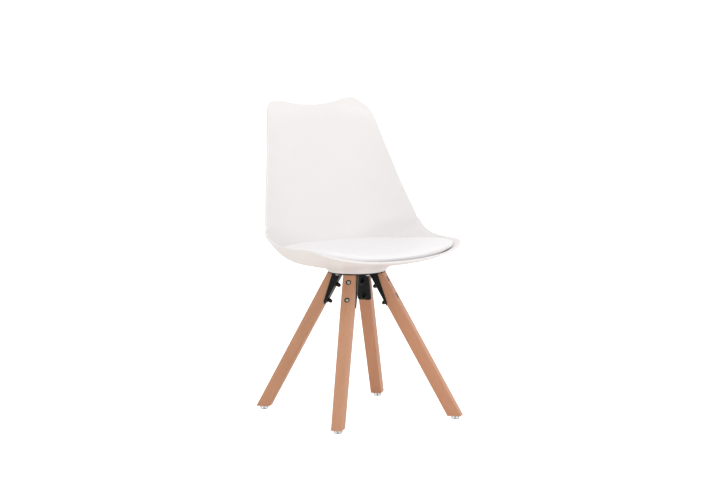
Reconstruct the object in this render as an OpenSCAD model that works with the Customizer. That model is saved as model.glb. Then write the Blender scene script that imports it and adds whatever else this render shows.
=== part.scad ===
// Dining chair: one-piece moulded bucket shell with a recessed seat pad, on a
// steel disc with four folded brackets and four splayed, square beech legs.
// Millimetres, +Z up. The chair faces -Y, the sitter's left is +X. The origin
// is on the floor, on the vertical axis of the base disc.

/* [Base] */
// Radius of the steel disc under the shell
plate_r = 76; // [72:1:82]
// Thickness of the steel disc
plate_t = 3; // [2:0.5:4]
// Height of the disc's underside above the floor
plate_z = 377.5; // [375:0.5:380]
// Distance of the four shell screws from the axis
screw_r = 57; // [54:1:60]

/* [Legs] */
// Thickness of a leg, square to its outer face
leg_t = 32; // [30:1:34]
// Width of a leg inside its bracket
leg_w = 33; // [32:1:35]
// Width of a leg at the floor
leg_w_foot = 29; // [27:1:31]
// Lean of a leg away from the axis, in degrees
leg_lean = 29.6; // [28:0.1:31]
// Sideways lean of a leg in the plane of its outer face, in degrees
leg_skew = 2.6; // [0:0.1:3]
// Distance of the leg's centre line from the axis, at the disc
leg_top_r = 54.7; // [53:0.1:56]
// First bolt's distance down the leg from the disc
bolt_1 = 32; // [30:1:36]
// Distance between the two bolts of a leg
bolt_pitch = 49; // [40:1:52]

/* [Brackets] */
// Thickness of the bracket's folded sheet
sheet = 2; // [1.5:0.5:2.5]
// Length of the bracket down the leg
bracket_l = 93; // [90:1:100]
// Width of the side flange at the disc
flange_top = 20; // [14:1:24]
// Width of the side flange at its lower end
flange_foot = 4; // [3:1:8]

/* [Feet] */
// Height of the plastic glides, and of the legs' cut ends above the floor
glide_h = 9; // [7:0.5:10]
// Radius of a glide where it meets the leg
glide_r = 12; // [10:0.5:13]

/* [Shell] */
// Wall thickness of the moulded shell
wall = 4.5; // [4:0.25:5.5]
// Extra thickness of the bead round the rim
bead = 1.5; // [0:0.5:2]

/* [Cushion] */
// Height of the crown in the middle of the seat pad
crown = 3; // [0:1:6]
// Thickness of the pad's edge
pad_edge = 8; // [6:1:10]
// Height of the shadow gap under the pad's front edge
pad_gap = 7; // [3:1:8]
// Thickness of the board under the foam
board_t = 4; // [3:1:5]

/* [Hidden] */
$fn = 64;
plate_top = plate_z + plate_t;
anchor_z = plate_top - 0.5;
top_t = -1;
board_z = 414;
clip_r = 40;

// ---- Curves of the shell ----------------------------------------------
// Seat line on the plane of symmetry, [y, z] from the front lip to the top
// edge. The other lists have one value at each of these stations.
SPINE = [[-216, 428], [-182, 419], [-130, 408], [-60, 398], [8, 394], [76, 396], [126, 418],
  [161, 461], [178, 517], [191, 599], [203, 687], [211, 768], [219, 804]];
// Rise of the wall above the seat line, 200 mm out to the side
CURL = [32, 37, 41, 40, 43, 51, 61, 77, 78, 78, 78, 59, 9];
// Power with which the wall rises from the middle outwards
POWER = [2.5, 3.4, 3.3, 3.4, 3.3, 4, 3.7, 2.3, 2.3, 2.5, 2.8, 2.6, 2.2];
// Left half of the shell's edge, [x, station], from the dip in the top edge
// round the soft corner and down the side to the front lip
EDGE = [[0, 11.89], [50, 12.01], [85, 12.19], [112, 12.27], [131, 12.16], [143, 11.84], [157, 11.02],
  [173, 10.16], [185, 9.57], [198, 8.95], [212, 8.29], [222, 7.58], [225, 6.5], [233, 4.6], [229, 3.03],
  [219, 2], [214, 1.32], [197, 0.58], [165, 0.2], [128, 0.04], [88, -0.02], [45, -0.01], [0, 0.02]];
// Left half of the pad's edge, [x, station], from the back to the front
PAD = [[0, 6.45], [70, 6.4], [124, 6.18], [160, 5.85], [190, 5.2], [207, 4.3], [212, 3.1],
  [210, 2.1], [199, 1.25], [176, 0.78], [140, 0.62], [95, 0.57], [48, 0.56], [0, 0.56]];
// Height of the pad's top at stations 0 to 7, on the plane of symmetry
PAD_MID = [440, 439, 436, 434, 434, 438, 446, 450];
// Rise of the pad's top above that, 200 mm out to the side
PAD_DISH = [27, 27, 25, 23, 19, 12, 5, 2];

// Smooth curve through the values of a list
function through(L, t) = let(n = len(L), i = min(max(floor(t), 0), n - 2), f = t - i,
  b = L[i], c = L[i + 1], a = i > 0 ? L[i - 1] : 2 * L[0] - L[1],
  d = i < n - 2 ? L[i + 2] : 2 * L[n - 1] - L[n - 2])
  (2 * b + (c - a) * f + (2 * a - 5 * b + 4 * c - d) * f * f + (3 * b - a - 3 * c + d) * f * f * f) / 2;
// Same, along a half outline that continues as its own mirror image
function round_edge(L, t) = let(n = len(L),
  E = concat([[-L[1][0], L[1][1]]], L, [[-L[n - 2][0], L[n - 2][1]]])) through(E, t + 1);
// Point of the shell's inner surface, x to the side and s along the stations
function inner(x, s) = let(p = through(SPINE, s), q = through(SPINE, s + 0.01) - through(SPINE, s - 0.01),
  u = q / norm(q), h = through(CURL, s) * pow(abs(x) / 200, max(1.5, through(POWER, s))))
  [x, p[0] - u[1] * h, p[1] + u[0] * h];
function unit(v) = v / norm(v);
// Direction square to that surface, towards the sitter
function facing(x, s) = unit(cross(inner(x + 0.5, s) - inner(x - 0.5, s), inner(x, s + 0.01) - inner(x, s - 0.01)));
// Station of a point of the seat line that lies at y
function station(y) = lookup(y, [for (k = [0:0.25:6]) [through(SPINE, k)[0], k]]);
// Underside of the collar that flares from the disc out into the shell
function flare(r) = r <= plate_r ? plate_top
  : plate_top + 15 * (1 - exp((plate_r - r) / 11)) + 0.13 * (r - plate_r) + 12 * pow((r - plate_r) / 45, 3);

COLS = 72;                                   // points round the shell
RINGS = [14, 30, 46, 62, 76, 79, 84, 91, 101, 114];  // rings round the disc
FAN = 12;                                    // rings from there to the edge
// Half outline index of column j, 0 at the top and COLS/2 at the front
function turn(j) = j <= COLS / 2 ? j : COLS - j;
function side(j) = j <= COLS / 2 ? 1 : -1;
function edge_at(L, j) = let(e = round_edge(L, turn(j) * (len(L) - 1) / (COLS / 2))) [side(j) * e[0], e[1]];
function ray(j) = 90 - j * 360 / COLS;
function disc_at(r, j) = [r * cos(ray(j)), station(r * sin(ray(j)))];
// Plan [x, station] of ring i and column j of the shell
function plan(i, j) = i < len(RINGS) ? disc_at(RINGS[i], j)
  : let(a = disc_at(RINGS[len(RINGS) - 1], j), b = edge_at(EDGE, j), w = (i + 1 - len(RINGS)) / FAN) a + (b - a) * w;
function skin(i, j) = let(q = plan(i, j)) inner(q[0], q[1]);
function back_skin(i, j) = let(q = plan(i, j), last = len(RINGS) + FAN - 1,
  w = max(0, (i - last + 2) / 2), p = inner(q[0], q[1]) - facing(q[0], q[1]) * (wall + bead * w),
  r = norm([p[0], p[1]]))
  i < len(RINGS) ? [RINGS[i] * cos(ray(j)), RINGS[i] * sin(ray(j)), min(flare(RINGS[i]), p[2])]
  : [p[0], p[1], p[2] < 450 ? min(p[2], flare(r)) : p[2]];
// Rounded outer edge between the two skins
function rim(k, j) = let(last = len(RINGS) + FAN - 1, q = plan(last, j), a = skin(last, j), b = back_skin(last, j),
  m = (a + b) / 2, out = unit(skin(last, j) - skin(last - 1, j)), g = 180 * k / 4)
  m + (a - m) * cos(g) + out * (norm(a - b) / 2) * sin(g);

// Closed surface over rows of COLS points, with a single point at each end
module loft(rows, first, last) {
  n = len(rows);
  pts = concat([first], [for (r = rows) each r], [last]);
  faces = concat(
    [for (j = [0:COLS - 1]) [0, 1 + (j + 1) % COLS, 1 + j]],
    [for (i = [0:n - 2], j = [0:COLS - 1]) let(a = 1 + i * COLS + j, b = 1 + i * COLS + (j + 1) % COLS,
      c = b + COLS, d = a + COLS) each [[a, b, c], [a, c, d]]],
    [for (j = [0:COLS - 1]) [1 + (n - 1) * COLS + j, 1 + (n - 1) * COLS + (j + 1) % COLS, 1 + n * COLS]]);
  polyhedron(points = pts, faces = faces, convexity = 10);
}

// ---- Frames -------------------------------------------------------------
module flip(on, axis) { if (on) mirror(axis) children(); else children(); }
// Copy for a quarter of the chair: x and y are 1 or -1
module quarter(x, y) { flip(x < 0, [1, 0, 0]) flip(y < 0, [0, 1, 0]) children(); }
// Frame of a leg: +X square out of its outer face, -Z down its length
module in_leg(x, y) {
  quarter(x, y) rotate([0, 0, 45]) translate([leg_top_r, top_t, anchor_z])
    rotate([0, -leg_lean, 0]) rotate([leg_skew, 0, 0]) children();
}
// Point on the floor side of the leg's centre line, at the glide's top
run = anchor_z - glide_h;
foot_u = leg_top_r + run * tan(leg_lean);
foot_v = top_t + run * tan(leg_skew) / cos(leg_lean);
foot_x = (foot_u - foot_v) / sqrt(2);
foot_y = (foot_u + foot_v) / sqrt(2);
module slab(z0, z1) { translate([-500, -500, z0]) cube([1000, 1000, z1 - z0]); }
module each_bolt() { for (x = [1, -1], y = [1, -1], k = [0, 1]) in_leg(x, y) translate([0, 0, -bolt_1 - k * bolt_pitch]) children(); }

// ---- Shell and seat -------------------------------------------------------
module seat_shell() color("white") {
  difference() {
    loft(concat([for (i = [0:len(RINGS) + FAN - 1]) [for (j = [0:COLS - 1]) skin(i, j)]],
      [for (k = [1:3]) [for (j = [0:COLS - 1]) rim(k, j)]],
      [for (i = [len(RINGS) + FAN - 1:-1:0]) [for (j = [0:COLS - 1]) back_skin(i, j)]]),
      inner(0, station(0)), [0, 0, plate_top]);
    // hollow underside of the collar, with the four bosses left standing
    difference() {
      translate([0, 0, plate_top - 1]) cylinder(r = plate_r - 7, h = 8);
      for (a = [0, 90, 180, 270]) rotate([0, 0, a]) {
        translate([screw_r, 0, 0]) cylinder(r = 11, h = 500);
        rotate([0, 0, 45]) translate([0, -1.5, 0]) cube([80, 3, 500]);
      }
      cylinder(r = 14, h = 500);
    }
    for (a = [0, 90, 180, 270]) rotate([0, 0, a]) translate([screw_r, 0, plate_top - 1]) cylinder(r = 4.5, h = 10);
    for (a = [20, 110, 200, 290]) rotate([0, 0, a]) translate([clip_r, 0, plate_top - 1]) cylinder(r = 4.2, h = 60);
  }
}
module shell_inserts() color("goldenrod")
  for (a = [0, 90, 180, 270]) rotate([0, 0, a]) translate([screw_r, 0, plate_top]) difference() {
    cylinder(r = 4.5, h = 9);
    translate([0, 0, -1]) cylinder(r = 3.05, h = 11);
  }

// 1 along the front of the pad, where its edge stands off the shell, 0 further back
function at_front(x, y) = min(1, max(0, (-y - 110) / 70)) * max(0, 1 - pow(x / 185, 4));
// Top of the pad over a point of the plan, with w from 0 inside to 1 at the edge
function pad_top(q, w) = through(PAD_MID, q[1]) + through(PAD_DISH, q[1]) * pow(q[0] / 200, 2) + crown * (1 - w * w);
PADS = 9;
function pad_plan(i, j) = let(w = (i + 1) / PADS, e = edge_at(PAD, j), c = [0, 3.9]) c + (e - c) * w;
function pad_low(i, j) = let(q = pad_plan(i, j), p = inner(q[0], q[1]) + facing(q[0], q[1]) * 0.8)
  [p[0], p[1], max(p[2] + (i == PADS - 1 ? pad_gap * at_front(p[0], p[1]) : 0), i < PADS - 1 ? board_z + board_t : 0)];
function pad_high(i, j) = let(q = pad_plan(i, j), p = pad_low(i, j), z = pad_top(q, (i + 1) / PADS))
  [p[0], p[1], max(z, p[2] + pad_edge * (1 + at_front(p[0], p[1])) / 2)];
module seat_cushion() color("whitesmoke")
  loft(concat([for (i = [0:PADS - 1]) [for (j = [0:COLS - 1]) pad_high(i, j)]],
    [for (i = [PADS - 1:-1:0]) [for (j = [0:COLS - 1]) pad_low(i, j)]]),
    [0, 0, pad_top([0, 3.9], 0)], [0, 0, board_z + board_t]);
module cushion_board() color("burlywood") translate([0, -20, board_z]) difference() {
  linear_extrude(board_t) union() {
    square([90, 200], center = true);
    square([200, 90], center = true);
    for (x = [-1, 1], y = [-1, 1]) translate([45 * x, 45 * y]) circle(r = 55);
  }
  translate([0, 20, -1]) for (a = [20, 110, 200, 290]) rotate([0, 0, a]) translate([clip_r, 0, 0]) cylinder(r = 3, h = board_t + 2);
}
module cushion_clips() color("dimgray")
  for (a = [20, 110, 200, 290]) rotate([0, 0, a]) translate([clip_r, 0, 0]) {
    translate([0, 0, plate_top + 5]) cylinder(r = 3, h = board_z + board_t - plate_top - 5);
    translate([0, 0, board_z - 2]) cylinder(r = 7, h = 2);
  }

// ---- Base -----------------------------------------------------------------
module base_plate() color("#1d1f22") difference() {
  translate([0, 0, plate_z]) cylinder(r = plate_r, h = plate_t, $fn = 96);
  for (a = [0, 90, 180, 270]) rotate([0, 0, a]) translate([screw_r, 0, plate_z - 1]) cylinder(r = 3.3, h = plate_t + 2);
}
module plate_screws() color("silver")
  for (a = [0, 90, 180, 270]) rotate([0, 0, a]) translate([screw_r, 0, plate_z]) difference() {
    union() {
      translate([0, 0, -1.2]) cylinder(r = 3, h = plate_t + 8);
      translate([0, 0, -5.2]) cylinder(r = 5.5, h = 4);
    }
    translate([0, 0, -6]) cylinder(r = 2.3, h = 3.3, $fn = 6);
  }
module plate_washers() color("silver")
  for (a = [0, 90, 180, 270]) rotate([0, 0, a]) translate([screw_r, 0, plate_z - 1.2]) difference() {
    cylinder(r = 8, h = 1.2);
    translate([0, 0, -1]) cylinder(r = 3.3, h = 4);
  }

// Folded bracket: a web on the leg's inner face and two tapered side flanges
module bracket(x, y) color("#1d1f22") {
  web_x = -leg_t / 2 - sheet;
  half = leg_w / 2 + sheet;
  intersection() {
    in_leg(x, y) difference() {
      union() {
        // web with rounded lower corners
        translate([web_x, 0, 0]) rotate([90, 0, 90]) linear_extrude(sheet) difference() {
          translate([-half, -bracket_l]) square([2 * half, bracket_l + 40]);
          for (k = [-1, 1]) translate([k * half, -bracket_l]) difference() {
            square([12, 12], center = true);
            translate([-k * 6, 6]) circle(r = 6);
          }
        }
        // side flanges
        for (k = [-1, 1]) translate([0, k > 0 ? half : -half + sheet, 0]) rotate([90, 0, 0]) linear_extrude(sheet)
          polygon([[web_x, 40], [web_x + sheet + flange_top + 8, 40], [web_x + sheet + flange_top, 0],
            [web_x + sheet + flange_foot, -bracket_l + 8], [web_x + sheet, -bracket_l + 2], [web_x, -bracket_l + 6]]);
      }
      for (k = [0, 1]) translate([web_x - 1, 0, -bolt_1 - k * bolt_pitch]) rotate([0, 90, 0]) cylinder(r = 3.25, h = sheet + 2);
    }
    slab(100, plate_z);
  }
}
module bracket_front_left() bracket(1, -1);
module bracket_front_right() bracket(-1, -1);
module bracket_rear_left() bracket(1, 1);
module bracket_rear_right() bracket(-1, 1);

// Square leg: parallel inside the bracket, then tapering to the floor
module leg(x, y) color("#c8966f") difference() {
  intersection() {
    in_leg(x, y) translate([-leg_t / 2, 0, 0]) rotate([90, 0, 90]) linear_extrude(leg_t)
      polygon([[-leg_w / 2, 40], [leg_w / 2, 40], [leg_w / 2, -bracket_l - 10], [leg_w_foot / 2, -460],
        [-leg_w_foot / 2, -460], [-leg_w / 2, -bracket_l - 10]]);
    slab(glide_h, plate_z);
  }
  in_leg(x, y) for (k = [0, 1]) translate([0, 0, -bolt_1 - k * bolt_pitch]) rotate([0, 90, 0]) {
    translate([0, 0, -leg_t]) cylinder(r = 3.25, h = 2 * leg_t);
    translate([0, 0, leg_t / 2 - 6]) cylinder(r = 7, h = 20);
  }
  quarter(x, y) translate([foot_x, foot_y, 0]) cylinder(r = 1.25, h = glide_h + 14);
}
module leg_front_left() leg(1, -1);
module leg_front_right() leg(-1, -1);
module leg_rear_left() leg(1, 1);
module leg_rear_right() leg(-1, 1);

// Furniture bolts with a hexagon socket, sunk in their counterbores
module leg_bolts() color("silver") each_bolt() rotate([0, 90, 0]) difference() {
  union() {
    translate([0, 0, -leg_t / 2 - sheet - 8]) cylinder(r = 3, h = leg_t + sheet + 3.2);
    translate([0, 0, leg_t / 2 - 5]) cylinder(r = 4.6, h = 3.6);
  }
  translate([0, 0, leg_t / 2 - 4]) cylinder(r = 2.3, h = 4, $fn = 6);
}
// Cup washers, with a rim that reaches up to the leg's face
module leg_bolt_washers() color("#26282b") each_bolt() rotate([0, 90, 0]) translate([0, 0, leg_t / 2 - 6]) difference() {
  cylinder(r = 6.9, h = 5.6);
  translate([0, 0, 1]) cylinder(r = 5.7, h = 6);
  translate([0, 0, -1]) cylinder(r = 3.2, h = 3);
}
module leg_cap_nuts() color("#1d1f22") each_bolt() rotate([0, -90, 0]) translate([0, 0, leg_t / 2 + sheet]) difference() {
  union() {
    cylinder(r = 5.77, h = 7.5, $fn = 6);
    intersection() {
      translate([0, 0, 7.5]) sphere(r = 5);
      translate([0, 0, 12]) cube([20, 20, 12], center = true);
    }
    translate([0, 0, -0.001]) cylinder(r = 7, h = 1.2);
  }
  translate([0, 0, -1]) cylinder(r = 3.05, h = 9.5);
}

// Clear nail-in glide under the cut end of a leg
module glide(x, y) color("lightblue", 0.6) quarter(x, y) translate([foot_x, foot_y, 0]) difference() {
  union() {
    cylinder(r1 = glide_r - 2.5, r2 = glide_r, h = glide_h - 1.5);
    translate([0, 0, glide_h - 1.5]) cylinder(r = glide_r, h = 1.5);
  }
  translate([0, 0, -1]) cylinder(r = 4.2, h = 4.5);
  translate([0, 0, -1]) cylinder(r = 1.25, h = glide_h + 2);
}
module glide_front_left() glide(1, -1);
module glide_front_right() glide(-1, -1);
module glide_rear_left() glide(1, 1);
module glide_rear_right() glide(-1, 1);
module glide_nails() color("gray") for (x = [1, -1], y = [1, -1]) quarter(x, y) translate([foot_x, foot_y, 0]) {
  translate([0, 0, 2.3]) cylinder(r = 4, h = 1.2);
  translate([0, 0, 2.3]) cylinder(r = 1.2, h = glide_h + 10);
}

seat_shell();
shell_inserts();
seat_cushion();
cushion_board();
cushion_clips();
base_plate();
plate_screws();
plate_washers();
bracket_front_left();
bracket_front_right();
bracket_rear_left();
bracket_rear_right();
leg_front_left();
leg_front_right();
leg_rear_left();
leg_rear_right();
leg_bolts();
leg_bolt_washers();
leg_cap_nuts();
glide_front_left();
glide_front_right();
glide_rear_left();
glide_rear_right();
glide_nails();
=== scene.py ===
import bpy  # noqa: E402
import bmesh  # noqa: E402
import math  # noqa: E402
import numpy as np  # noqa: E402
from mathutils import Matrix, Vector  # noqa: E402


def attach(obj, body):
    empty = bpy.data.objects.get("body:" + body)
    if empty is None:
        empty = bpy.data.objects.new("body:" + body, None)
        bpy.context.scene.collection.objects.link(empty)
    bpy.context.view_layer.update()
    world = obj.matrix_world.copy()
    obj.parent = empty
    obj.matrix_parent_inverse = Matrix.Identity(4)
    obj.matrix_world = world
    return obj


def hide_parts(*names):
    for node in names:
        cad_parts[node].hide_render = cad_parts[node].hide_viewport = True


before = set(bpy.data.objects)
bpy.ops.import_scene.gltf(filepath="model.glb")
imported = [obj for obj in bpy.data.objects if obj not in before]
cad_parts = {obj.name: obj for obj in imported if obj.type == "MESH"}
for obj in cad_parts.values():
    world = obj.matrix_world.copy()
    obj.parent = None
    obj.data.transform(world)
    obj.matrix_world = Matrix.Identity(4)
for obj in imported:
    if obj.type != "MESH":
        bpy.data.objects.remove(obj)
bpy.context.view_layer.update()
scene = bpy.context.scene
MM = 0.001

# ---------------------------------------------------------------- dimensions
# Millimetres, the same numbers as the CAD source.
PLATE_R, PLATE_T, PLATE_Z, SCREW_R = 76.0, 3.0, 377.5, 57.0
LEG_T, LEG_W, LEG_W_FOOT, LEG_LEAN, LEG_SKEW = 32.0, 33.0, 29.0, 29.6, 2.6
LEG_TOP_R, TOP_T, BOLT_1, BOLT_PITCH = 54.7, -1.0, 32.0, 49.0
SHEET, BRACKET_L = 2.0, 93.0
GLIDE_H, GLIDE_R = 9.0, 12.0
WALL, BEAD, CROWN, PAD_EDGE, PAD_GAP = 4.5, 1.5, 3.0, 8.0, 7.0
PLATE_TOP = PLATE_Z + PLATE_T
ANCHOR_Z = PLATE_TOP - 0.5
BOARD_TOP = 418.0
SPINE = np.array([[-216, 428], [-182, 419], [-130, 408], [-60, 398], [8, 394], [76, 396], [126, 418],
                  [161, 461], [178, 517], [191, 599], [203, 687], [211, 768], [219, 804]], float)
CURL = np.array([32, 37, 41, 40, 43, 51, 61, 77, 78, 78, 78, 59, 9], float)
POWER = np.array([2.5, 3.4, 3.3, 3.4, 3.3, 4, 3.7, 2.3, 2.3, 2.5, 2.8, 2.6, 2.2], float)
EDGE = np.array([[0, 11.89], [50, 12.01], [85, 12.19], [112, 12.27], [131, 12.16], [143, 11.84], [157, 11.02],
                 [173, 10.16], [185, 9.57], [198, 8.95], [212, 8.29], [222, 7.58], [225, 6.5], [233, 4.6],
                 [229, 3.03], [219, 2], [214, 1.32], [197, 0.58], [165, 0.2], [128, 0.04], [88, -0.02],
                 [45, -0.01], [0, 0.02]], float)
PAD = np.array([[0, 6.45], [70, 6.4], [124, 6.18], [160, 5.85], [190, 5.2], [207, 4.3], [212, 3.1],
                [210, 2.1], [199, 1.25], [176, 0.78], [140, 0.62], [95, 0.57], [48, 0.56], [0, 0.56]], float)
PAD_MID = np.array([440, 439, 436, 434, 434, 438, 446, 450], float)
PAD_DISH = np.array([27, 27, 25, 23, 19, 12, 5, 2], float)


# ---------------------------------------------------------------- shell curves
def through(L, t):
    """Smooth curve through the rows of L at parameters t."""
    L = np.asarray(L, float)
    t = np.asarray(t, float)
    n = len(L)
    P = np.concatenate([[2 * L[0] - L[1]], L, [2 * L[-1] - L[-2]]])
    i = np.clip(np.floor(t).astype(int), 0, n - 2)
    f = t - i
    if L.ndim > 1:
        f = f[..., None]
    a, b, c, d = P[i], P[i + 1], P[i + 2], P[i + 3]
    return (2 * b + (c - a) * f + (2 * a - 5 * b + 4 * c - d) * f * f + (3 * b - a - 3 * c + d) * f ** 3) / 2


def round_edge(L, t):
    E = np.concatenate([[[-L[1][0], L[1][1]]], L, [[-L[-2][0], L[-2][1]]]])
    return through(E, np.asarray(t, float) + 1)


def inner(x, s):
    """Point of the shell's inner surface."""
    p = through(SPINE, s)
    q = through(SPINE, s + 0.01) - through(SPINE, s - 0.01)
    u = q / np.linalg.norm(q, axis=-1, keepdims=True)
    h = through(CURL, s) * (np.abs(x) / 200) ** np.maximum(1.5, through(POWER, s))
    return np.stack([x, p[..., 0] - u[..., 1] * h, p[..., 1] + u[..., 0] * h], -1)


def unit(v):
    return v / np.maximum(np.linalg.norm(v, axis=-1, keepdims=True), 1e-12)


def facing(x, s):
    return unit(np.cross(inner(x + 0.5, s) - inner(x - 0.5, s), inner(x, s + 0.01) - inner(x, s - 0.01)))


_k = np.arange(0, 6.0001, 0.05)
_ky = through(SPINE, _k)[:, 0]


def station(y):
    return np.interp(y, _ky, _k)


def flare(r):
    r = np.asarray(r, float)
    out = PLATE_TOP + 15 * (1 - np.exp((PLATE_R - r) / 11)) + 0.13 * (r - PLATE_R) + 12 * np.maximum((r - PLATE_R) / 45, 0) ** 3
    return np.where(r <= PLATE_R, PLATE_TOP, out)


def edge_at(L, cols):
    j = np.arange(cols)
    half = cols // 2
    turn = np.where(j <= half, j, cols - j)
    side = np.where(j <= half, 1.0, -1.0)
    e = round_edge(L, turn * (len(L) - 1) / half)
    return np.stack([side * e[:, 0], e[:, 1]], -1)


def disc_at(r, cols):
    a = np.radians(90 - np.arange(cols) * 360 / cols)
    return np.stack([r * np.cos(a), station(r * np.sin(a))], -1)


# ---------------------------------------------------------------- mesh helpers
def loft(rows, first=None, last=None, ring=False):
    """Faces over rows of points, each row a closed loop. ring joins the last row back to the first."""
    n = len(rows[0])
    pts, faces = [], []
    if first is not None:
        pts.append(tuple(first))
    start = len(pts)
    for r in rows:
        pts.extend(tuple(p) for p in r)
    m = len(rows)
    for i in range(m if ring else m - 1):
        for j in range(n):
            a, b = start + i * n + j, start + i * n + (j + 1) % n
            c, d = start + ((i + 1) % m) * n + (j + 1) % n, start + ((i + 1) % m) * n + j
            faces.append((a, b, c, d))
    if not ring:
        if first is not None:
            faces.extend((0, start + (j + 1) % n, start + j) for j in range(n))
        else:
            faces.append(tuple(reversed(range(start, start + n))))
        off = start + (m - 1) * n
        if last is not None:
            pts.append(tuple(last))
            faces.extend((off + j, off + (j + 1) % n, len(pts) - 1) for j in range(n))
        else:
            faces.append(tuple(range(off, off + n)))
    return pts, faces


def fillet(points, radius, closed=False, steps=3):
    """Rounds the corners of a list of [radius, height, six] profile points."""
    P = [np.array(list(p) + [0.0] * (3 - len(p)), float) for p in points]
    out = []
    n = len(P)
    for i, p in enumerate(P):
        if not closed and i in (0, n - 1):
            out.append(p)
            continue
        a, b = P[i - 1], P[(i + 1) % n]
        da, db = np.linalg.norm((a - p)[:2]), np.linalg.norm((b - p)[:2])
        d = min(radius, 0.45 * da, 0.45 * db)
        if d < 1e-6:
            out.append(p)
            continue
        s, e = p + (a - p) / da * d, p + (b - p) / db * d
        for k in range(steps + 1):
            t = k / steps
            q = (1 - t) ** 2 * s + 2 * t * (1 - t) * p + t * t * e
            q[2] = p[2]
            out.append(q)
    return out


def turned(profile, n=64):
    """Rings for a profile of [radius, height, six]; where six is 1 the ring is a hexagon of that corner radius."""
    th = np.linspace(0, 2 * np.pi, n, endpoint=False)
    flat = np.cos(np.pi / 6) / np.cos((th % (np.pi / 3)) - np.pi / 6)
    rows = []
    for p in profile:
        six = p[2] if len(p) > 2 else 0.0
        r = p[0] * ((1 - six) + six * flat)
        rows.append(np.stack([r * np.cos(th), r * np.sin(th), np.full(n, p[1])], -1))
    return rows


def to_bmesh(pts, faces):
    bm = bmesh.new()
    vs = [bm.verts.new(p) for p in pts]
    for f in faces:
        bm.faces.new([vs[i] for i in f])
    bmesh.ops.recalc_face_normals(bm, faces=bm.faces)
    return bm


def copies(pts, faces, matrices):
    """The same solid at several places, as one list of points and faces."""
    allp, allf = [], []
    for m in matrices:
        off = len(allp)
        mirrored = m.determinant() < 0
        allp.extend(tuple(m @ Vector(p)) for p in pts)
        allf.extend(tuple(off + i for i in (reversed(f) if mirrored else f)) for f in faces)
    return allp, allf


def link(name, mesh, material, replaces=(), smooth=40, matrix=None):
    """An object of the chair: material, edges sharper than smooth degrees kept crisp, riding on the root body."""
    if matrix is not None:
        mesh.transform(matrix)
    obj = bpy.data.objects.new(name, mesh)
    scene.collection.objects.link(obj)
    mesh.materials.clear()
    mesh.materials.append(material)
    if smooth:
        for p in mesh.polygons:
            p.use_smooth = True
        mesh.set_sharp_from_angle(angle=math.radians(smooth))
    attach(obj, "root")
    if replaces:
        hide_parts(*replaces)
    return obj


def mesh_from(name, bm, scale=MM):
    bmesh.ops.scale(bm, vec=(scale,) * 3, verts=bm.verts)
    mesh = bpy.data.meshes.new(name)
    bm.to_mesh(mesh)
    bm.free()
    return mesh


def make(name, pts, faces, material, replaces=(), smooth=40):
    return link(name, mesh_from(name, to_bmesh(pts, faces)), material, replaces, smooth)


def cut_level(bm, z, keep_below):
    """Cuts a closed solid by the level plane at z and closes the cut."""
    geom = list(bm.verts) + list(bm.edges) + list(bm.faces)
    res = bmesh.ops.bisect_plane(bm, geom=geom, plane_co=(0, 0, z), plane_no=(0, 0, 1),
                                 clear_outer=keep_below, clear_inner=not keep_below, dist=1e-5)
    edges = [e for e in res["geom_cut"] if isinstance(e, bmesh.types.BMEdge)]
    made = bmesh.ops.holes_fill(bm, edges=edges, sides=0)["faces"]
    bmesh.ops.recalc_face_normals(bm, faces=bm.faces)
    return made


def subtract(mesh, cutter):
    """mesh with the cutter's solid taken away."""
    a, b = bpy.data.objects.new("tmp_a", mesh), bpy.data.objects.new("tmp_b", cutter)
    for o in (a, b):
        scene.collection.objects.link(o)
    mod = a.modifiers.new("cut", "BOOLEAN")
    mod.operation, mod.solver, mod.object = "DIFFERENCE", "EXACT", b
    bpy.context.view_layer.update()
    dg = bpy.context.evaluated_depsgraph_get()
    out = bpy.data.meshes.new_from_object(a.evaluated_get(dg))
    for o in (a, b):
        bpy.data.objects.remove(o)
    return out


def crisp_bevel(bm, offset, angle=50, segments=2, only=None):
    bm.normal_update()
    edges = [e for e in bm.edges if len(e.link_faces) == 2 and e.calc_face_angle(0) > math.radians(angle)
             and (only is None or only(e))]
    if edges:
        bmesh.ops.bevel(bm, geom=edges, offset=offset, segments=segments, profile=0.5, affect="EDGES",
                        clamp_overlap=True)


# ---------------------------------------------------------------- materials
def srgb(r, g, b):
    f = lambda c: (c / 255 / 12.92) if c <= 10.3 else ((c / 255 + 0.055) / 1.055) ** 2.4
    return (f(r), f(g), f(b), 1.0)


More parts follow.
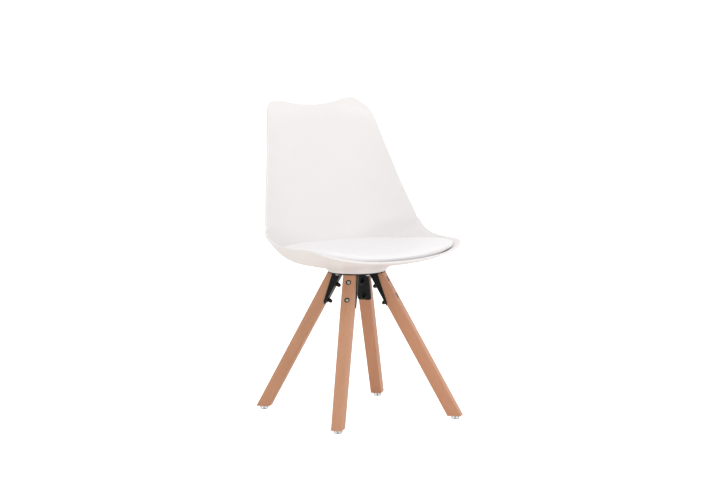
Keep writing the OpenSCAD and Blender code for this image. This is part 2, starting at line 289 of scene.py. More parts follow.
class Nodes:
    """A small helper that wires one procedural material."""

    def __init__(self, name):
        self.mat = bpy.data.materials.new(name)
        self.mat.use_nodes = True
        self.tree = self.mat.node_tree
        self.bsdf = self.tree.nodes["Principled BSDF"]
        self.coord = self.tree.nodes.new("ShaderNodeTexCoord")

    def new(self, kind, **values):
        n = self.tree.nodes.new(kind)
        for k, v in values.items():
            if hasattr(n, k):
                setattr(n, k, v)
            else:
                n.inputs[k.replace("_", " ")].default_value = v
        return n

    def wire(self, a, b):
        self.tree.links.new(a, b)

    turn = None

    def place(self, scale=(1, 1, 1), offset=(0, 0, 0)):
        """Object coordinates, turned into the piece's own frame if it has one, then scaled and shifted."""
        source = self.coord.outputs["Object"]
        if self.turn is not None:
            t = self.tree.nodes.new("ShaderNodeMapping")
            t.inputs["Rotation"].default_value = self.turn
            self.wire(source, t.inputs["Vector"])
            source = t.outputs["Vector"]
        m = self.tree.nodes.new("ShaderNodeMapping")
        m.inputs["Scale"].default_value = scale
        m.inputs["Location"].default_value = offset
        self.wire(source, m.inputs["Vector"])
        return m.outputs["Vector"]

    def noise(self, vector, scale, detail=4.0, rough=0.55, distort=0.0):
        n = self.tree.nodes.new("ShaderNodeTexNoise")
        n.inputs["Scale"].default_value = scale
        n.inputs["Detail"].default_value = detail
        n.inputs["Roughness"].default_value = rough
        n.inputs["Distortion"].default_value = distort
        self.wire(vector, n.inputs["Vector"])
        return n.outputs["Fac"]

    def cells(self, vector, scale, feature="F1", randomness=1.0):
        n = self.tree.nodes.new("ShaderNodeTexVoronoi")
        n.feature = feature
        n.inputs["Scale"].default_value = scale
        n.inputs["Randomness"].default_value = randomness
        self.wire(vector, n.inputs["Vector"])
        return n.outputs["Distance"]

    def ramp(self, fac, stops):
        n = self.tree.nodes.new("ShaderNodeValToRGB")
        while len(n.color_ramp.elements) < len(stops):
            n.color_ramp.elements.new(0.5)
        for e, (pos, col) in zip(n.color_ramp.elements, stops):
            e.position = pos
            e.color = col if len(col) == 4 else (*col, 1.0)
        self.wire(fac, n.inputs["Fac"])
        return n.outputs["Color"]

    def span(self, fac, lo, hi, a=0.0, b=1.0):
        n = self.tree.nodes.new("ShaderNodeMapRange")
        n.inputs["From Min"].default_value = a
        n.inputs["From Max"].default_value = b
        n.inputs["To Min"].default_value = lo
        n.inputs["To Max"].default_value = hi
        self.wire(fac, n.inputs["Value"])
        return n.outputs["Result"]

    def mix(self, fac, a, b, blend="MIX"):
        n = self.tree.nodes.new("ShaderNodeMix")
        n.data_type = "RGBA"
        n.blend_type = blend
        if isinstance(fac, float):
            n.inputs[0].default_value = fac
        else:
            self.wire(fac, n.inputs[0])
        for sock, v in ((n.inputs[6], a), (n.inputs[7], b)):
            if isinstance(v, tuple):
                sock.default_value = v
            else:
                self.wire(v, sock)
        return n.outputs[2]

    def add(self, a, b, op="ADD"):
        n = self.tree.nodes.new("ShaderNodeMath")
        n.operation = op
        for sock, v in ((n.inputs[0], a), (n.inputs[1], b)):
            if isinstance(v, (int, float)):
                sock.default_value = v
            else:
                self.wire(v, sock)
        return n.outputs[0]

    def bump(self, height, strength, distance):
        n = self.tree.nodes.new("ShaderNodeBump")
        n.inputs["Strength"].default_value = strength
        n.inputs["Distance"].default_value = distance
        self.wire(height, n.inputs["Height"])
        self.wire(n.outputs["Normal"], self.bsdf.inputs["Normal"])

    def colour(self, socket):
        self.wire(socket, self.bsdf.inputs["Base Color"])

    def rough(self, socket):
        self.wire(socket, self.bsdf.inputs["Roughness"])

    def set(self, **values):
        for k, v in values.items():
            self.bsdf.inputs[k.replace("_", " ")].default_value = v


def shell_plastic():
    m = Nodes("white_polypropylene")
    v = m.place()
    big = m.noise(v, 9.0, 3.0)
    fine = m.noise(v, 1900.0, 2.0, 0.6)
    m.colour(m.ramp(big, [(0.3, (0.820, 0.805, 0.800)), (0.7, (0.832, 0.818, 0.814))]))
    m.rough(m.span(m.noise(v, 60.0, 4.0), 0.40, 0.50))
    m.bump(fine, 0.12, 0.0003)
    m.set(Specular_IOR_Level=0.45, IOR=1.49)
    return m.mat


def leather():
    m = Nodes("white_pu_leather")
    v = m.place()
    warp = m.tree.nodes.new("ShaderNodeVectorMath")
    warp.operation = "MULTIPLY_ADD"
    noise = m.tree.nodes.new("ShaderNodeTexNoise")
    noise.inputs["Scale"].default_value = 160.0
    noise.inputs["Detail"].default_value = 3.0
    m.wire(v, noise.inputs["Vector"])
    m.wire(noise.outputs["Color"], warp.inputs[0])
    warp.inputs[1].default_value = (0.0022, 0.0022, 0.0022)
    m.wire(v, warp.inputs[2])
    grain = m.cells(warp.outputs["Vector"], 620.0, "DISTANCE_TO_EDGE")
    valley = m.span(grain, 0.0, 1.0, 0.0, 0.16)
    pores = m.noise(v, 2600.0, 2.0)
    broad = m.noise(v, 26.0, 4.0, 0.5, 0.4)
    base = m.ramp(broad, [(0.3, (0.860, 0.855, 0.872)), (0.7, (0.874, 0.870, 0.886))])
    # painted shade: the grain grooves are mixed up to 10% toward a darker grey
    m.colour(m.mix(m.span(valley, 0.0, 0.10, 1.0, 0.0), base, (0.80, 0.79, 0.80, 1.0)))
    m.rough(m.span(valley, 0.52, 0.42))
    height = m.add(m.add(m.add(valley, 0.7, "MULTIPLY"), m.add(pores, 0.2, "MULTIPLY")), m.add(broad, 1.2, "MULTIPLY"))
    m.bump(height, 0.30, 0.00025)
    m.set(Specular_IOR_Level=0.4, Coat_Weight=0.06, Coat_Roughness=0.4)
    return m.mat


def beech(name, shift, turn):
    m = Nodes(name)
    m.turn = turn
    v = m.place((1.0, 1.0, 0.045), shift)
    broad = m.noise(m.place((1.0, 1.0, 0.10), shift), 34.0, 3.0, 0.5, 0.3)
    streak = m.noise(v, 420.0, 6.0, 0.62, 0.25)
    line = m.noise(v, 1500.0, 3.0, 0.55)
    ray = m.cells(m.place((1.0, 1.0, 0.16), shift), 620.0, "F1")
    fleck = m.span(ray, 1.0, 0.0, 0.05, 0.20)
    c = m.ramp(broad, [(0.32, (0.515, 0.262, 0.150)), (0.52, (0.560, 0.292, 0.170)), (0.72, (0.600, 0.322, 0.192))])
    c = m.mix(m.span(streak, 0.0, 0.60, 0.35, 0.75), c, (0.455, 0.222, 0.122, 1.0))
    c = m.mix(m.span(line, 0.0, 0.30, 0.40, 0.80), c, (0.640, 0.360, 0.225, 1.0))
    c = m.mix(m.add(fleck, 0.35, "MULTIPLY"), c, (0.330, 0.145, 0.078, 1.0))
    # painted shade: the two left legs, whose faces toward the camera lie in shade, are mixed toward a darker, redder
    # brown
    if name.endswith("left"):
        c = m.mix(m.span(broad, 0.20, 0.40), c, (0.520, 0.215, 0.115, 1.0))
    m.colour(c)
    m.rough(m.span(streak, 0.36, 0.52, 0.3, 0.7))
    m.bump(m.add(m.add(streak, 0.6, "MULTIPLY"), m.add(fleck, -0.5, "MULTIPLY")), 0.22, 0.0002)
    m.set(Specular_IOR_Level=0.4, Coat_Weight=0.10, Coat_Roughness=0.35)
    return m.mat


def powder_coat():
    m = Nodes("black_powder_coat")
    v = m.place()
    orange = m.noise(v, 900.0, 3.0, 0.6)
    m.colour(m.ramp(m.noise(v, 70.0, 4.0), [(0.3, (0.0010, 0.0022, 0.0030)), (0.7, (0.0025, 0.0040, 0.0050))]))
    m.rough(m.span(orange, 0.34, 0.50, 0.3, 0.7))
    m.bump(orange, 0.35, 0.00022)
    m.set(Specular_IOR_Level=0.22, Specular_Tint=(0.88, 0.97, 1.0, 1.0))
    return m.mat


def black_oxide():
    m = Nodes("black_zinc_nut")
    v = m.place()
    tool = m.noise(m.place((1, 1, 6.0)), 700.0, 3.0)
    m.colour(m.ramp(m.noise(v, 240.0, 4.0), [(0.3, (0.004, 0.0045, 0.005)), (0.7, (0.010, 0.011, 0.012))]))
    m.rough(m.span(tool, 0.26, 0.42))
    m.bump(tool, 0.15, 0.0001)
    m.set(Metallic=0.2, Specular_IOR_Level=0.35)
    return m.mat


def zinc(name="zinc_plate", tone=(0.62, 0.62, 0.60)):
    m = Nodes(name)
    v = m.place()
    cloud = m.noise(v, 320.0, 4.0)
    fine = m.noise(v, 2400.0, 2.0)
    lo = tuple(c * 0.86 for c in tone)
    m.colour(m.ramp(cloud, [(0.3, lo), (0.7, tone)]))
    m.rough(m.span(cloud, 0.24, 0.40))
    m.bump(fine, 0.12, 0.00008)
    m.set(Metallic=1.0)
    return m.mat


def clear_plastic():
    m = Nodes("clear_glide_plastic")
    v = m.place()
    haze = m.noise(v, 500.0, 4.0)
    scuff = m.noise(m.place((1, 1, 0.2)), 900.0, 3.0)
    m.colour(m.ramp(haze, [(0.3, (0.80, 0.88, 0.93)), (0.7, (0.88, 0.94, 0.97))]))
    m.rough(m.span(scuff, 0.06, 0.20, 0.3, 0.7))
    m.bump(scuff, 0.10, 0.0001)
    m.set(Transmission_Weight=0.92, IOR=1.49)
    return m.mat


def plywood():
    m = Nodes("seat_board_ply")
    grain = m.noise(m.place((0.06, 1.0, 1.0)), 260.0, 5.0, 0.6, 0.3)
    ply = m.noise(m.place((0.02, 0.02, 1.0)), 900.0, 1.0)
    c = m.ramp(grain, [(0.3, (0.42, 0.27, 0.15)), (0.7, (0.58, 0.40, 0.24))])
    m.colour(m.mix(m.span(ply, 0.0, 0.5, 0.45, 0.55), c, (0.36, 0.22, 0.12, 1.0)))
    m.rough(m.span(grain, 0.6, 0.8))
    m.bump(grain, 0.2, 0.0002)
    return m.mat


def nylon():
    m = Nodes("grey_nylon")
    v = m.place()
    m.colour(m.ramp(m.noise(v, 90.0), [(0.3, (0.10, 0.10, 0.11)), (0.7, (0.14, 0.14, 0.15))]))
    fine = m.noise(v, 1600.0, 2.0)
    m.rough(m.span(fine, 0.45, 0.6))
    m.bump(fine, 0.1, 0.0001)
    return m.mat


SHELL, LEATHER, COAT, NUT = shell_plastic(), leather(), powder_coat(), black_oxide()
ZINC, BRASS, CLEAR, PLY, NYLON = zinc(), zinc("brass", (0.78, 0.55, 0.24)), clear_plastic(), plywood(), nylon()
SHIFTS = {"front_left": (0.31, 0.12, 0.7), "front_right": (0.05, 0.44, 0.2), "rear_left": (0.62, 0.27, 1.1),
          "rear_right": (0.18, 0.71, 1.6)}
QUARTERS = {"front_left": (1, -1), "front_right": (-1, -1), "rear_left": (1, 1), "rear_right": (-1, 1)}

# ---------------------------------------------------------------- seat shell
COLS = 360
RINGS = [7, 14, 22, 30, 38, 46, 54, 62, 69, 74, 76, 77.2, 79, 81.5, 84, 87.5, 91, 96, 101, 107.5, 114]
FAN = 64


def shell_mesh():
    rows_in, rows_out = [], []
    edge = edge_at(EDGE, COLS)
    a = disc_at(114, COLS)
    ang = np.radians(90 - np.arange(COLS) * 360 / COLS)
    for r in RINGS:
        q = disc_at(r, COLS)
        p = inner(q[:, 0], q[:, 1])
        rows_in.append(p)
        o = p - facing(q[:, 0], q[:, 1]) * WALL
        rows_out.append(np.stack([r * np.cos(ang), r * np.sin(ang), np.minimum(flare(r), o[:, 2])], -1))
    for i in range(1, FAN + 1):
        w = i / FAN
        q = a + (edge - a) * w
        p = inner(q[:, 0], q[:, 1])
        rows_in.append(p)
        t = np.clip((w - 0.86) / 0.14, 0, 1)
        t = t * t * (3 - 2 * t)
        o = p - facing(q[:, 0], q[:, 1]) * (WALL + BEAD * t)
        r = np.hypot(o[:, 0], o[:, 1])
        # the collar's flare fades smoothly into the wall's underside
        f = flare(r)
        soft = 1.2
        o[:, 2] -= soft * np.log1p(np.exp(np.clip((o[:, 2] - f) / soft, -40, 40))) * (o[:, 2] < 450)
        rows_out.append(o)
    top, under = rows_in[-1], rows_out[-1]
    out = unit(top - rows_in[-2])
    mid = (top + under) / 2
    half = np.linalg.norm(top - under, axis=1, keepdims=True) / 2
    rim = []
    for k in range(1, 10):
        g = math.pi * k / 10
        rim.append(mid + (top - mid) * math.cos(g) + out * half * math.sin(g))
    rows = rows_in + rim + rows_out[::-1]
    p0 = inner(np.array(0.0), station(0.0))
    return loft(rows, first=p0, last=(0, 0, PLATE_TOP))


pts, faces = shell_mesh()
shell = make("moulded_shell", pts, faces, SHELL, ["seat_shell"], smooth=60)


# ---------------------------------------------------------------- cushion
def at_front(x, y):
    """1 along the front of the pad, where its edge stands off the shell, 0 further back."""
    return np.clip((-y - 110) / 70, 0, 1) * np.clip(1 - (x / 185) ** 4, 0, 1)


def pad_top(q, w):
    return through(PAD_MID, q[:, 1]) + through(PAD_DISH, q[:, 1]) * (q[:, 0] / 200) ** 2 + CROWN * (1 - w * w)


def cushion_mesh():
    cols = 216
    e = edge_at(PAD, cols)
    c = np.array([0, 3.9])

    def low_at(w, lift=1.3):
        q = c + (e - c) * w
        p = inner(q[:, 0], q[:, 1]) + facing(q[:, 0], q[:, 1]) * lift
        p[:, 2] += PAD_GAP * at_front(p[:, 0], p[:, 1]) * max(0.0, (w - 0.9) / 0.1) ** 1.5
        return q, p

    top, bottom = [], []
    for w in np.append(np.linspace(0.05, 0.9, 19), (0.925, 0.945, 0.965)):
        q, p = low_at(w)
        bottom.append(np.stack([p[:, 0], p[:, 1], np.maximum(p[:, 2], BOARD_TOP + 0.6)], -1))
        z = pad_top(q, w) - 1.2
        thin = PAD_EDGE * (1 + at_front(p[:, 0], p[:, 1])) / 2 - 1.2
        top.append(np.stack([p[:, 0], p[:, 1], np.maximum(z, p[:, 2] + thin)], -1))
    A, B = low_at(0.995)[1], top[-1]
    arc = []
    for k in range(1, 6):
        g = math.pi / 2 * k / 6
        xy = A[:, :2] + (B[:, :2] - A[:, :2]) * (1 - math.sin(math.pi / 2 - g))
        z = A[:, 2] + 1.5 + (B[:, 2] - A[:, 2] - 1.5) * math.sin(g)
        arc.append(np.stack([xy[:, 0], xy[:, 1], z], -1))
    side = np.stack([A[:, 0], A[:, 1], A[:, 2] + 0.6], -1)
    rows = top + arc[::-1] + [side] + bottom[::-1]
    centre_top = (0, -10, float(rows[0][:, 2].mean()))
    centre_low = (0, -10, BOARD_TOP + 0.6)
    return loft(rows, first=centre_top, last=centre_low)


def stuffed(name, pts, faces, pressure, cap, held):
    """Inflates a closed pad as a cloth under pressure, with the points that rest on the seat held still."""
    fine = mesh_from(name, to_bmesh(pts, faces))
    obj = bpy.data.objects.new(name, fine)
    scene.collection.objects.link(obj)
    start = np.zeros(len(fine.vertices) * 3, np.float32)
    fine.vertices.foreach_get("co", start)
    start = start.reshape(-1, 3)
    normals = np.zeros(len(fine.vertices) * 3, np.float32)
    fine.vertices.foreach_get("normal", normals)
    group = obj.vertex_groups.new(name="held")
    for i, w in enumerate(held(start, normals.reshape(-1, 3))):
        if w > 0:
            group.add([i], float(w), "REPLACE")
    cloth = obj.modifiers.new("cloth", "CLOTH")
    s = cloth.settings
    s.quality = 6
    s.mass = 0.3
    s.tension_stiffness = s.compression_stiffness = 12
    s.bending_stiffness = 1.5
    s.use_pressure = True
    s.uniform_pressure_force = pressure
    s.vertex_group_mass = "held"
    s.effector_weights.gravity = 0
    cloth.point_cache.frame_start, cloth.point_cache.frame_end = 1, 20
    for f in range(1, 21):
        scene.frame_set(f)
    end = np.zeros(len(fine.vertices) * 3, np.float32)
    obj.evaluated_get(bpy.context.evaluated_depsgraph_get()).data.vertices.foreach_get("co", end)
    obj.modifiers.clear()
    scene.frame_set(1)
    move = end.reshape(-1, 3) - start
    size = np.linalg.norm(move, axis=1, keepdims=True)
    move *= cap * np.tanh(size / cap) / np.maximum(size, 1e-9)
    print("cushion moved, mm:", round(float(size.max()) * 1000, 2), round(float(np.linalg.norm(move, axis=1).max()) * 1000, 2))
    fine.vertices.foreach_set("co", (start + move).astype(np.float32).ravel())
    obj.vertex_groups.clear()
    sub = obj.modifiers.new("sub", "SUBSURF")
    sub.levels = sub.render_levels = 1
    bpy.context.view_layer.update()
    final = bpy.data.meshes.new_from_object(obj.evaluated_get(bpy.context.evaluated_depsgraph_get()))
    bpy.data.objects.remove(obj)
    return final


def seat_held(co, normal):
    """1 where the pad rests on the seat, falling to 0 up its side and over its top."""
    return np.clip((0.5 - normal[:, 2]) / 0.45, 0, 1)


pts, faces = cushion_mesh()
cushion = link("leather_cushion", stuffed("cushion_cover", pts, faces, 3.0, 3 * MM, seat_held),
               LEATHER, ["seat_cushion"], smooth=0)
for p in cushion.data.polygons:
    p.use_smooth = True


# ---------------------------------------------------------------- legs and brackets
def leg_frame(x, y):
    """Frame of a leg: +X square out of its outer face, -Z down its length, millimetres."""
    m = (Matrix.Diagonal((x, y, 1, 1)) @ Matrix.Rotation(math.radians(45), 4, "Z")
         @ Matrix.Translation((LEG_TOP_R, TOP_T, ANCHOR_Z)) @ Matrix.Rotation(math.radians(-LEG_LEAN), 4, "Y")
         @ Matrix.Rotation(math.radians(LEG_SKEW), 4, "X"))
    return m @ Matrix.Diagonal((1, -1, 1, 1)) if m.determinant() < 0 else m


def metres(m):
    m = m.copy()
    m.translation *= MM
    return m


def section(hx, hy, r, z):
    """Rounded rectangle as a closed loop."""
    out = []
    for cx, cy, a0 in ((1, 1, 0), (-1, 1, 90), (-1, -1, 180), (1, -1, 270)):
        for k in range(5):
            a = math.radians(a0 + k * 22.5)
            out.append((cx * (hx - r) + r * math.cos(a), cy * (hy - r) + r * math.sin(a), z))
    return np.array(out)


def bolt_cutter():
    """Two stepped holes across a leg, along local X."""
    prof = [[3.25, -45], [3.25, LEG_T / 2 - 6], [7.0, LEG_T / 2 - 6], [7.0, LEG_T / 2 - 0.45], [8.3, LEG_T / 2 + 0.8], [8.3, 30]]
    pts, faces = loft(turned(prof, 48))
    ms = [Matrix.Translation((0, 0, -BOLT_1 - k * BOLT_PITCH)) @ Matrix.Rotation(math.radians(90), 4, "Y") for k in (0, 1)]
    return copies(pts, faces, ms)


def leg_mesh(m):
    rows = []
    for z in (-470, -380, -290, -200, -103 - 20, -103 + 10, -50, 0, 40):
        t = np.clip((-103 - z) / 357, 0, 1.2)
        rows.append(section(LEG_T / 2, (LEG_W + (LEG_W_FOOT - LEG_W) * t) / 2, 2.2, z))
    bm = to_bmesh(*loft(rows))
    bm.transform(m)
    cut_level(bm, PLATE_Z, True)
    cut_level(bm, GLIDE_H, False)
    crisp_bevel(bm, 0.9, 50, 2, lambda e: all(v.co.z < GLIDE_H + 0.01 for v in e.verts))
    bm.transform(m.inverted())
    mesh = mesh_from("leg", bm)
    pts, faces = bolt_cutter()
    return subtract(mesh, mesh_from("cutter", to_bmesh(pts, faces)))


def bracket_mesh(m):
    """U-section folded from one sheet: web on the leg's inner face, two flanges that taper to rounded ends."""
    R, half, x0 = 3.6, LEG_W / 2 + SHEET, -LEG_T / 2 - SHEET
    flat, bend = half - R, math.pi / 2 * R

    def point(s, depth):
        side = 1 if s >= 0 else -1
        s = abs(s)
        if s <= flat:
            return (x0 + depth, side * s)
        if s <= flat + bend:
            g = (s - flat) / R
            return (x0 + R - (R - depth) * math.cos(g), side * (flat + (R - depth) * math.sin(g)))
        return (x0 + R + (s - flat - bend), side * (half - depth))

    rows = []
    for z in np.linspace(18, -82, 26):
        rows.append((z, flat + bend + (4 + 0.19 * z) - (x0 + R)))
    z1, s1 = rows[-1]
    for k in range(1, 11):
        g = math.pi / 2 * k / 10
        rows.append((z1 - (BRACKET_L - 82) * math.sin(g), 10 + (s1 - 10) * math.cos(g)))
    n = 72
    pts, faces = [], []
    for depth in (0.0, SHEET):
        for z, S in rows:
            for i in range(n + 1):
                x, y = point(S * (2 * i / n - 1), depth)
                pts.append((x, y, z))
    m1, k = len(rows), n + 1
    base = m1 * k
    for i in range(m1 - 1):
        for j in range(n):
            a = i * k + j
            faces.append((a, a + 1, a + k + 1, a + k))
            faces.append((base + a, base + a + k, base + a + k + 1, base + a + 1))
    for j in range(n):
        faces.append((j, base + j, base + j + 1, j + 1))
        a = (m1 - 1) * k + j
        faces.append((a, a + 1, base + a + 1, base + a))
    for i in range(m1 - 1):
        for a in (i * k, i * k + n):
            faces.append((a, a + k, base + a + k, base + a) if a % k == 0 else (a, base + a, base + a + k, a + k))
    bm = to_bmesh(pts, faces)
    crisp_bevel(bm, 0.45, 50, 2)
    bm.transform(m)
    cut_level(bm, PLATE_Z, True)
    bm.transform(m.inverted())
    mesh = mesh_from("bracket", bm)
    pts, faces = bolt_cutter()
    return subtract(mesh, mesh_from("cutter", to_bmesh(pts, faces)))


for name, (x, y) in QUARTERS.items():
    m = leg_frame(x, y)
    turn = m.to_3x3().inverted().to_euler()
    link("beech_leg_" + name, leg_mesh(m), beech("beech_" + name, SHIFTS[name], turn),
         ["leg_" + name], smooth=40, matrix=metres(m))
    link("folded_bracket_" + name, bracket_mesh(m), COAT,
         ["bracket_" + name], smooth=35, matrix=metres(m))

# ---------------------------------------------------------------- bolts, washers, nuts
BOLTS = [leg_frame(x, y) @ Matrix.Translation((0, 0, -BOLT_1 - k * BOLT_PITCH)) @ Matrix.Rotation(math.radians(90), 4, "Y")
         for x, y in QUARTERS.values() for k in (0, 1)]
H = LEG_T / 2
bolt = fillet([[0.6, -H - 9.6], [2.7, -H - 9.6], [3, -H - 9], [3, H - 5], [4.6, H - 5], [4.6, H - 2.3], [3.9, H - 1.4]], 0.25)
bolt += [np.array(p, float) for p in ([2.75, H - 1.4, 0], [2.42, H - 1.55, 1], [2.3, H - 1.8, 1], [2.3, H - 4, 1], [1.2, H - 4.5, 0.5])]
pts, faces = copies(*loft(turned(bolt, 60), last=(0, 0, H - 4.7)), BOLTS)
make("leg_bolt_set", pts, faces, ZINC, ["leg_bolts"], smooth=32)

washer = fillet([[3.3, H - 6], [6.9, H - 6], [6.9, H - 0.5], [5.8, H - 0.5], [5.6, H - 5.1], [3.3, H - 5.1]], 0.2, closed=True)
pts, faces = copies(*loft(turned(washer, 60), ring=True), BOLTS)
make("leg_bolt_washer_set", pts, faces, NUT, ["leg_bolt_washers"], smooth=32)


def cap_nut():
    """Flange, hexagon with chamfered corners, dome; along -Z from the leg's bracket."""
    b = H + SHEET
    p = fillet([[3.05, b + 0.0], [6.8, b], [7.0, b + 0.4], [7.0, b + 0.9], [5.6, b + 1.3]], 0.15)
    p += [np.array(q, float) for q in ([5.45, b + 1.35, 0.6], [5.77, b + 1.75, 1], [5.77, b + 6.7, 1], [5.4, b + 7.3, 0.55],
                                      [5.0, b + 7.5, 0.0])]
    for k in range(1, 9):
        g = math.pi / 2 * k / 9
        p.append(np.array([4.95 * math.cos(g), b + 7.55 + 4.9 * math.sin(g), 0]))
    return p, (0, 0, b + 12.45)


nut, tip = cap_nut()
hole = [np.array([3.05, H + SHEET + 8.5, 0]), np.array([3.05, H + SHEET + 0.3, 0])]
flipm = Matrix.Rotation(math.radians(180), 4, "X")
pts, faces = copies(*loft(turned(hole + nut, 60), first=(0, 0, H + SHEET + 8.9), last=tip), [b @ flipm for b in BOLTS])
make("cap_nut_set", pts, faces, NUT, ["leg_cap_nuts"], smooth=32)

# ---------------------------------------------------------------- base disc and its screws
disc = fillet([[0.01, PLATE_Z], [PLATE_R, PLATE_Z], [PLATE_R, PLATE_TOP], [0.01, PLATE_TOP]], 0.7, steps=4)[1:-1]
plate = mesh_from("disc", to_bmesh(*loft(turned(disc, 180))))
hole_pts, hole_faces = loft(turned([[3.3, PLATE_Z - 2], [3.3, PLATE_TOP + 2]], 40))
SCREWS = [Matrix.Translation((SCREW_R * math.cos(a), SCREW_R * math.sin(a), 0)) for a in (0, math.pi / 2, math.pi, 1.5 * math.pi)]
plate = subtract(plate, mesh_from("holes", to_bmesh(*copies(hole_pts, hole_faces, SCREWS))))
link("steel_base_disc", plate, COAT, ["base_plate"], smooth=35)

z = PLATE_Z
screw = [np.array(p, float) for p in ([1.0, z - 2.5, 0.5], [2.3, z - 2.7, 1], [2.3, z - 4.9, 1], [2.5, z - 5.15, 1], [3.0, z - 5.2, 0])]
screw += fillet([[3.2, z - 5.2], [4.9, z - 5.2], [5.5, z - 4.5], [5.5, z - 1.2], [3, z - 1.2], [3, z + PLATE_T + 6.2], [2.4, z + PLATE_T + 6.8], [0.5, z + PLATE_T + 6.8]], 0.3)
pts, faces = copies(*loft(turned(screw, 60), first=(0, 0, z - 2.4)), SCREWS)
make("plate_screw_set", pts, faces, ZINC, ["plate_screws"], smooth=32)
ringp = fillet([[3.35, z - 1.2], [8, z - 1.2], [8, z], [3.35, z]], 0.3, closed=True)
pts, faces = copies(*loft(turned(ringp, 60), ring=True), SCREWS)
make("plate_washer_set", pts, faces, ZINC, ["plate_washers"], smooth=32)

# ---------------------------------------------------------------- glides and nails
run = ANCHOR_Z - GLIDE_H
foot_u = LEG_TOP_R + run * math.tan(math.radians(LEG_LEAN))
foot_v = TOP_T + run * math.tan(math.radians(LEG_SKEW)) / math.cos(math.radians(LEG_LEAN))
FOOT = ((foot_u - foot_v) / math.sqrt(2), (foot_u + foot_v) / math.sqrt(2))
glide = fillet([[1.25, 2.5], [4.2, 3.5 - 1.0], [4.2, 0], [GLIDE_R - 2.5, 0], [GLIDE_R - 0.4, GLIDE_H - 2.0], [GLIDE_R, GLIDE_H - 1.5],
                [GLIDE_R, GLIDE_H], [1.25, GLIDE_H]], 0.5, closed=True, steps=4)
nail = fillet([[0.4, 1.3], [3.4, 1.3], [3.9, 1.7], [3.9, 2.3], [1.15, 2.45], [1.15, GLIDE_H + 8.5], [0.2, GLIDE_H + 12]], 0.25)
nails = []
for name, (x, y) in QUARTERS.items():
    at = Matrix.Translation((x * FOOT[0], y * FOOT[1], 0))
    nails.append(at)
    pts, faces = copies(*loft(turned(glide, 72), ring=True), [at])
    make("clear_glide_" + name, pts, faces, CLEAR, ["glide_" + name], smooth=40)
pts, faces = copies(*loft(turned(nail, 40)), nails)
make("glide_nail_set", pts, faces, ZINC, ["glide_nails"], smooth=35)

# ---------------------------------------------------------------- CAD nodes that stay as they are
for node, mat in (("cushion_board", PLY), ("cushion_clips", NYLON), ("shell_inserts", BRASS)):
    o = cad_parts[node]
    o.data.materials.clear()
    o.data.materials.append(mat)

# ---------------------------------------------------------------- floor, light, camera
floor_mat = Nodes("studio_floor")
floor_mat.colour(floor_mat.ramp(floor_mat.noise(floor_mat.place(), 3.0), [(0.3, (0.83, 0.805, 0.785)), (0.7, (0.84, 0.815, 0.795))]))
floor_mat.set(Roughness=0.9, Emission_Color=(1.0, 0.90, 0.80, 1.0), Emission_Strength=0.12, Specular_IOR_Level=0.1)
ft = floor_mat.tree
glow, lit, seen = ft.nodes.new("ShaderNodeEmission"), ft.nodes.new("ShaderNodeAddShader"), ft.nodes.new("ShaderNodeLightPath")
glow.inputs["Color"].default_value = (1.0, 1.0, 1.0, 1.0)
ft.links.new(floor_mat.add(seen.outputs["Is Camera Ray"], 0.66, "MULTIPLY"), glow.inputs["Strength"])
ft.links.new(floor_mat.bsdf.outputs[0], lit.inputs[0])
ft.links.new(glow.outputs[0], lit.inputs[1])
# seen from below, the floor is clear
clear, facing_up, sided = ft.nodes.new("ShaderNodeBsdfTransparent"), ft.nodes.new("ShaderNodeNewGeometry"), ft.nodes.new("ShaderNodeMixShader")
ft.links.new(facing_up.outputs["Backfacing"], sided.inputs[0])
ft.links.new(lit.outputs[0], sided.inputs[1])
ft.links.new(clear.outputs[0], sided.inputs[2])
ft.links.new(sided.outputs[0], ft.nodes["Material Output"].inputs["Surface"])
th = np.linspace(0, 2 * np.pi, 96, endpoint=False)
floor_pts = [(9 * math.cos(t), 9 * math.sin(t), 0.0) for t in th]
floor_mesh = bpy.data.meshes.new("floor")
floor_mesh.from_pydata(floor_pts, [], [tuple(range(96))])
floor_mesh.materials.append(floor_mat.mat)
floor = bpy.data.objects.new("floor", floor_mesh)
scene.collection.objects.link(floor)

world = bpy.data.worlds.new("studio")
scene.world = world
world.use_nodes = True
wt = world.node_tree
fill = wt.nodes["Background"]
fill.inputs["Color"].default_value = (1.0, 0.98, 0.972, 1.0)
white = wt.nodes.new("ShaderNodeBackground")
white.inputs["Color"].default_value = (1.0, 1.0, 1.0, 1.0)
white.inputs["Strength"].default_value = 1.05
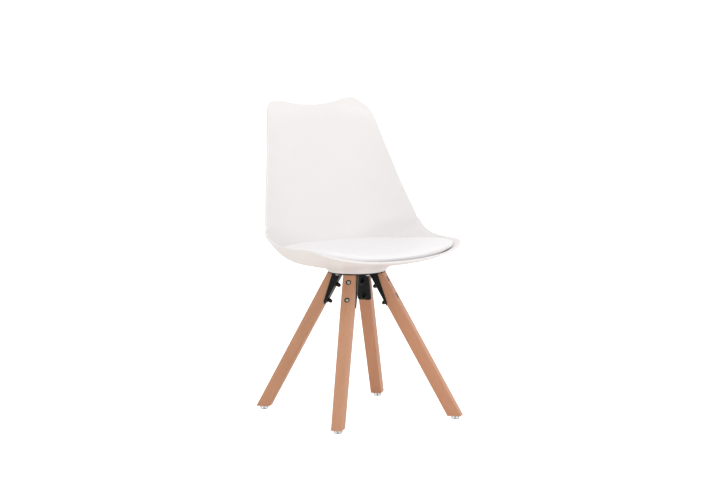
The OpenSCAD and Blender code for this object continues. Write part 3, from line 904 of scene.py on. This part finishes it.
# the tent is brighter behind the chair than in front of it
where, dot, grade = (wt.nodes.new("ShaderNodeTexCoord"), wt.nodes.new("ShaderNodeVectorMath"), wt.nodes.new("ShaderNodeMapRange"))
dot.operation = "DOT_PRODUCT"
dot.inputs[1].default_value = (0.45, 0.85, 0.25)
grade.inputs["From Min"].default_value, grade.inputs["From Max"].default_value = -0.3, 0.7
grade.inputs["To Min"].default_value, grade.inputs["To Max"].default_value = 0.84, 1.08
wt.links.new(where.outputs["Generated"], dot.inputs[0])
wt.links.new(dot.outputs["Value"], grade.inputs["Value"])
wt.links.new(grade.outputs["Result"], fill.inputs["Strength"])
path, both = wt.nodes.new("ShaderNodeLightPath"), wt.nodes.new("ShaderNodeMixShader")
wt.links.new(path.outputs["Is Camera Ray"], both.inputs[0])
wt.links.new(fill.outputs[0], both.inputs[1])
wt.links.new(white.outputs[0], both.inputs[2])
wt.links.new(both.outputs[0], wt.nodes["World Output"].inputs["Surface"])


def area(name, at, aim, size, watts, colour=(1, 1, 1)):
    light = bpy.data.lights.new(name, "AREA")
    light.shape = "RECTANGLE"
    light.size, light.size_y = size
    light.energy = watts
    light.color = colour
    o = bpy.data.objects.new(name, light)
    scene.collection.objects.link(o)
    o.location = at
    o.rotation_euler = (Vector(aim) - Vector(at)).to_track_quat("-Z", "Y").to_euler()
    o.visible_camera = False
    return o


area("key_softbox", (-0.25, -2.9, 3.3), (0, 0, 0.5), (2.2, 2.0), 40, (0.98, 0.985, 1.0))

# camera: azimuth -29.778, elevation 6.957, roll -0.716, far away with a long lens
K = 1.022
az, el, roll = (math.radians(v) for v in (-29.778, 6.957, -0.716))
back = Vector((math.sin(az) * math.cos(el), -math.cos(az) * math.cos(el), math.sin(el)))
right = Vector((math.cos(az), math.sin(az), 0))
up = back.cross(right)
right, up = right * math.cos(roll) + up * math.sin(roll), -right * math.sin(roll) + up * math.cos(roll)
distance, focal = 6403.64, 2500.0
eye = Vector((0, 0, 300)) + back * distance - right * (-2.975 * distance / focal) + up * (58.233 * distance / focal)
camera_data = bpy.data.cameras.new("camera")
camera_data.sensor_width = 36
camera_data.lens = focal / 720 * 36
camera_data.clip_end = 100
camera = bpy.data.objects.new("camera", camera_data)
scene.collection.objects.link(camera)
rot = Matrix((right, up, back)).transposed().to_4x4()
camera.matrix_world = Matrix.Translation(eye * K * MM) @ rot
scene.camera = camera
scene.view_settings.view_transform = "Standard"
scene.view_settings.look = "None"

bpy.context.view_layer.update()
